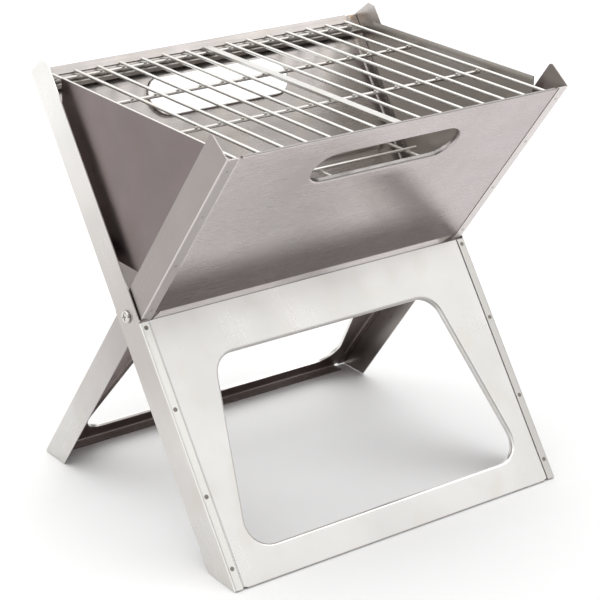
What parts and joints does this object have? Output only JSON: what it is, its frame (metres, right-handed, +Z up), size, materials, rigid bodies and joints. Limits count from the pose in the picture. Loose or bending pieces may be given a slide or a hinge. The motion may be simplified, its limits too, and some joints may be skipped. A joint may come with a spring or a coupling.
{
  "type": "folding charcoal grill",
  "caption": "Folding charcoal camp grill: two crossed sheet-steel panels turn on side screws and form a V trough with end plates, a charcoal rack and a lift-out wire cooking grate.",
  "frame": {"origin": "on the ground, straight below the middle of the hinge line, which is within 2 mm of the centre of the footprint", "axes": "+X along the hinge line from the left side rails to the right ones, -Y to the front, where the leg frame of the outer panel stands, +Z up"},
  "size_m": [0.3562, 0.3128, 0.3796],
  "materials": {
    "sheet_steel": "satin",
    "trough_steel": "satin",
    "wire_steel": "polished",
    "screw_steel": "satin"
  },
  "bodies": {
    "outer_panel": {"rear_wall": "trough_steel", "front_leg_frame": "sheet_steel", "outer_rail_left": "sheet_steel", "outer_rail_right": "sheet_steel", "rear_grate_ledge": "trough_steel", "pivot_screw_left": "screw_steel", "pivot_screw_right": "screw_steel", "pivot_washer_left": "screw_steel", "pivot_washer_right": "screw_steel", "pivot_nut_left": "screw_steel", "pivot_nut_right": "screw_steel"},
    "inner_panel": {"front_wall": "trough_steel", "rear_leg_frame": "sheet_steel", "inner_rail_left": "sheet_steel", "inner_rail_right": "sheet_steel", "front_grate_ledge": "trough_steel"},
    "charcoal_rack": {"rack_cross_wire_1": "wire_steel", "rack_cross_wire_2": "wire_steel", "rack_cross_wire_3": "wire_steel", "rack_cross_wire_4": "wire_steel", "rack_wire_1": "wire_steel", "rack_wire_2": "wire_steel", "rack_wire_3": "wire_steel", "rack_wire_4": "wire_steel", "rack_wire_5": "wire_steel"},
    "cooking_grate": {"grate_bar_01": "wire_steel", "grate_bar_02": "wire_steel", "grate_bar_03": "wire_steel", "grate_bar_04": "wire_steel", "grate_bar_05": "wire_steel", "grate_bar_06": "wire_steel", "grate_bar_07": "wire_steel", "grate_bar_09": "wire_steel", "grate_bar_10": "wire_steel", "grate_bar_11": "wire_steel", "grate_bar_12": "wire_steel", "grate_bar_13": "wire_steel", "grate_bar_14": "wire_steel", "grate_bar_15": "wire_steel", "grate_cross_wire_1": "wire_steel", "grate_cross_wire_2": "wire_steel", "grate_cross_wire_3": "wire_steel", "grate_cross_wire_4": "wire_steel", "grate_flat_bar": "wire_steel"},
    "end_plate_left": {"end_plate_left": "trough_steel"},
    "end_plate_right": {"end_plate_right": "trough_steel"}
  },
  "joints": [
    {"name": "panel_fold", "type": "hinge", "parent": "outer_panel", "child": "inner_panel", "pos_m": [0, 0, 0.1885], "axis": [-1, 0, 0], "range_deg": [0, 72.7]},
    {"name": "rack_lift", "type": "slide", "parent": "outer_panel", "child": "charcoal_rack", "axis": [0, 0, 1], "range_m": [0, 0.6]},
    {"name": "grate_lift", "type": "slide", "parent": "charcoal_rack", "child": "cooking_grate", "axis": [0, 0, 1], "range_m": [0, 0.12]},
    {"name": "left_plate_lift", "type": "slide", "parent": "charcoal_rack", "child": "end_plate_left", "axis": [0, 0, 1], "range_m": [0, 0.2]},
    {"name": "right_plate_lift", "type": "slide", "parent": "charcoal_rack", "child": "end_plate_right", "axis": [0, 0, 1], "range_m": [0, 0.2]}
  ],
  "couplings": [
    {"joint": "rack_lift", "follows": "panel_fold", "m_per_rad": 0.46}
  ]
}
